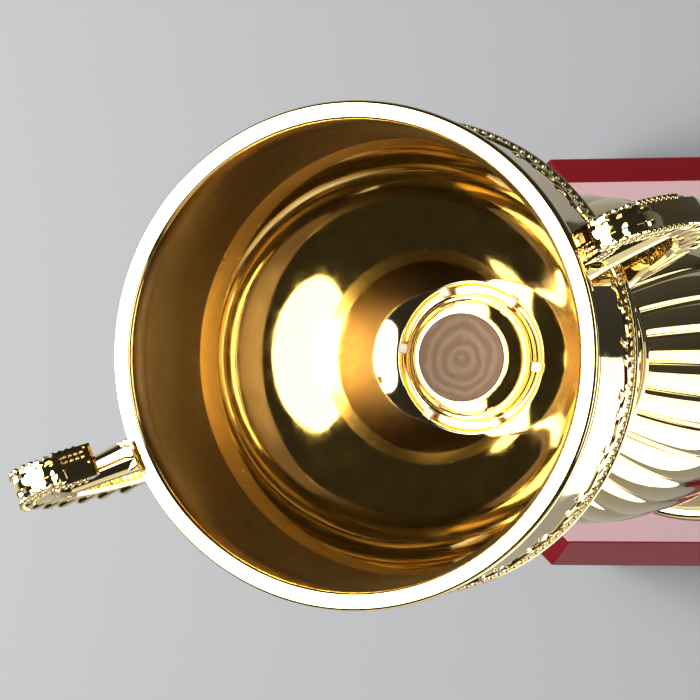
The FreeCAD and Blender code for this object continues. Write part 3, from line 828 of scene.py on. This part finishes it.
def carve_foot(work):
    """The lower end spreads to an oval pad against the band."""
    low_root = rim - 37.5
    low = scroll[-1 - SCROLL_STEPS][0]
    rings = []
    for k in range(9):
        s = k / 8
        rings.append(ellipse_ring(BAND - 2.4 + (low.x - BAND + 2.4) * s, low_root + (low.z - low_root) * s,
                                  ARM_ROOT[0] + (PLATE - 0.2 - ARM_ROOT[0]) * s ** 0.6,
                                  ARM_ROOT[1] + (BAR / 2 - ARM_ROOT[1]) * s ** 0.6))
    work.loft(rings)


carving = Carving()
for carve in (carve_scroll, carve_feathers, carve_inner_ribs, carve_curl_block, carve_arm, carve_foot):
    carve(carving)
right_mesh = carving.mesh("wing_handle")
left_mesh = right_mesh.copy()
left_mesh.transform(Matrix.Rotation(math.pi, 4, "Z"))
handle_plating = gold_plating("gold_plated_handles", 0.03)
for node, handle_mesh in (("handle_right", right_mesh), ("handle_left", left_mesh)):
    wing = add_object(node.replace("handle", "wing"), handle_mesh)
    dress(wing, handle_plating)
    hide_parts(node)
    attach(wing, "root")


# ---- Rod, nuts, washers and screws ------------------------------------------------------------------
# Bought-in steel, zinc plated. All of it is hidden once the trophy is put
# together, so the solids are shown as they are.
def zinc_steel():
    """Zinc plate: a faintly bluish grey with a soft sheen, cloudy over about 7 mm."""
    material, tree, shader = new_material("zinc_plated_steel", Metallic=1.0)
    place = add_node(tree, "ShaderNodeTexCoord").outputs["Object"]
    clouds = add_node(tree, "ShaderNodeTexNoise", Vector=place, Scale=140.0, Detail=5.0)
    tone = add_node(tree, "ShaderNodeMix", {"data_type": "RGBA"}, i0=clouds.outputs["Fac"],
                    i6=colour("#A9ACAF"), i7=colour("#C8CACB"))
    tree.links.new(tone.outputs[2], shader.inputs["Base Color"])
    rough = add_node(tree, "ShaderNodeMapRange", Value=clouds.outputs["Fac"], i3=0.24, i4=0.42)
    tree.links.new(rough.outputs[0], shader.inputs["Roughness"])
    return material


steel = zinc_steel()
for node in ("tie_rod", "top_nut", "top_washer", "bottom_nut", "bottom_washer", "cover_screws"):
    dress(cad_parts[node], steel)


# ---- Ballast, cover and feet ---------------------------------------------------------------------------
# A cast iron ring under the deck, a textured black plate that closes the base,
# and four soft pads that stand on the table.
def grained(name, low, high, rough, grain_mm, strength):
    """A matt surface with a fine cast or moulded grain of the given size."""
    material, tree, shader = new_material(name, Roughness=rough)
    place = add_node(tree, "ShaderNodeTexCoord").outputs["Object"]
    grain = add_node(tree, "ShaderNodeTexNoise", Vector=place, Scale=1000.0 / grain_mm, Detail=4.0)
    tone = add_node(tree, "ShaderNodeMix", {"data_type": "RGBA"}, i0=grain.outputs["Fac"],
                    i6=colour(low), i7=colour(high))
    tree.links.new(tone.outputs[2], shader.inputs["Base Color"])
    bump = add_node(tree, "ShaderNodeBump", Strength=strength, Distance=0.0002, Height=grain.outputs["Fac"])
    tree.links.new(bump.outputs[0], shader.inputs["Normal"])
    return material


dress(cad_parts["base_weight"], grained("cast_iron", "#2B2A29", "#4A4846", 0.7, 1.2, 0.6))
dress(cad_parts["base_cover"], grained("textured_black_abs", "#151515", "#26262A", 0.55, 0.7, 0.35))
dress(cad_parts["feet"], grained("black_eva_foam", "#101011", "#232324", 0.85, 0.5, 0.5))


# ---- Floor and light --------------------------------------------------------------------------------------
# A plain pale floor, and a studio made of large soft boxes. The lights are
# placed round the camera's own directions: right, up and towards it.
def pale_floor():
    """Matt paper: an even grey that drifts a little over half a metre."""
    material, tree, shader = new_material("pale_paper_floor", Roughness=0.6)
    place = add_node(tree, "ShaderNodeTexCoord").outputs["Object"]
    clouds = add_node(tree, "ShaderNodeTexNoise", Vector=place, Scale=2.0, Detail=2.0)
    tone = add_node(tree, "ShaderNodeMix", {"data_type": "RGBA"}, i0=clouds.outputs["Fac"],
                    i6=colour("#4E4F52"), i7=colour("#545556"))
    tree.links.new(tone.outputs[2], shader.inputs["Base Color"])
    return material


floor_mesh = bpy.data.meshes.new("floor")
FLOOR_HALF = 6.0
corners = [(x * FLOOR_HALF, y * FLOOR_HALF, 0) for x, y in ((-1, -1), (1, -1), (1, 1), (-1, 1))]
floor_mesh.from_pydata(corners, [], [(0, 1, 2, 3)])
floor_plane = add_object("floor", floor_mesh)
dress(floor_plane, pale_floor())


def softbox(name, heading, distance, width, height, glow, shape="ELLIPSE"):
    """A soft light facing the cup, at a heading in the camera's directions.

    Heading is right, up and back towards the camera. Glow is the radiance, so
    the light looks equally bright in the plating whatever its size.
    """
    light = bpy.data.lights.new(name, "AREA")
    light.shape, light.size, light.size_y = shape, width, height
    area = width * height * (math.pi / 4 if shape == "ELLIPSE" else 1.0)
    light.energy = glow * math.pi * area
    lamp = add_object(name, light)
    centre = Vector((0, 0, RIM))
    lamp.location = centre + camera_to_row @ (Vector(heading).normalized() * distance)
    toward = centre - lamp.location
    lamp.rotation_mode = "QUATERNION"
    up = camera_to_row @ Vector((0, 1, 0))
    side = toward.cross(up).normalized()
    turn = Matrix((side, side.cross(toward).normalized(), -toward.normalized())).transposed()
    lamp.rotation_quaternion = turn.to_quaternion()
    lamp.visible_camera = False
    return lamp


softbox("large_softbox_left", (-0.87, 0.02, 0.5), 1.2, 2.1, 1.5, 7.5)
softbox("hot_core_left", (-0.96, 0.02, 0.28), 1.15, 0.62, 1.0, 28.0)
softbox("softbox_by_camera", (0.29, 0.0, 0.957), 1.6, 0.5, 1.25, 4.0)
softbox("white_card_below", (0.15, -1.0, -0.05), 0.55, 1.2, 0.45, 0.8, "RECTANGLE")
softbox("white_card_right", (1.0, -0.25, 0.05), 0.8, 0.5, 0.7, 0.7, "RECTANGLE")


def card_on_floor(name, right, up, width, height, material):
    """A card lying by the base, out of the picture, that only the plating sees: a painted reflection, dark
    or glowing as its card stock.
    """
    side = camera_to_row @ level
    climb = Vector((0, 0, 1)).cross(side)
    middle = side * right + climb * up + Vector((0, 0, 0.004))
    mesh = bpy.data.meshes.new(name)
    mesh.from_pydata([middle + side * x * width / 2 + climb * y * height / 2
                      for x, y in ((-1, -1), (1, -1), (1, 1), (-1, 1))], [], [(0, 1, 2, 3)])
    card = add_object(name, mesh)
    dress(card, material)
    card.visible_camera = card.visible_diffuse = card.visible_shadow = False


def card_stock(name, tone, strength=0.0):
    """A flat matt card in one tone, which may glow a little though it is no lamp: painted light."""
    return new_material(name, Roughness=0.9, Base_Color=colour(tone), Emission_Color=colour(tone),
                        Emission_Strength=strength)[0]


# Painted shade: a black card that only the plating sees, standing in for shadow on the floor by the base.
card_on_floor("black_card", 0.30, 0.28, 0.48, 0.56, card_stock("black_card_painted_shade", "#0C0B09"))
# Painted light: a glowing white card, no lamp, that only the plating sees as a bright reflection.
card_on_floor("white_card", 0.30, -0.345, 0.48, 0.69, card_stock("white_card_painted_light", "#F4F1EA", 0.75))

world = bpy.data.worlds.new("studio")
bpy.context.scene.world = world
world.use_nodes = True
world.node_tree.nodes["Background"].inputs["Color"].default_value = colour("#8C8E90")
world.node_tree.nodes["Background"].inputs["Strength"].default_value = 0.1
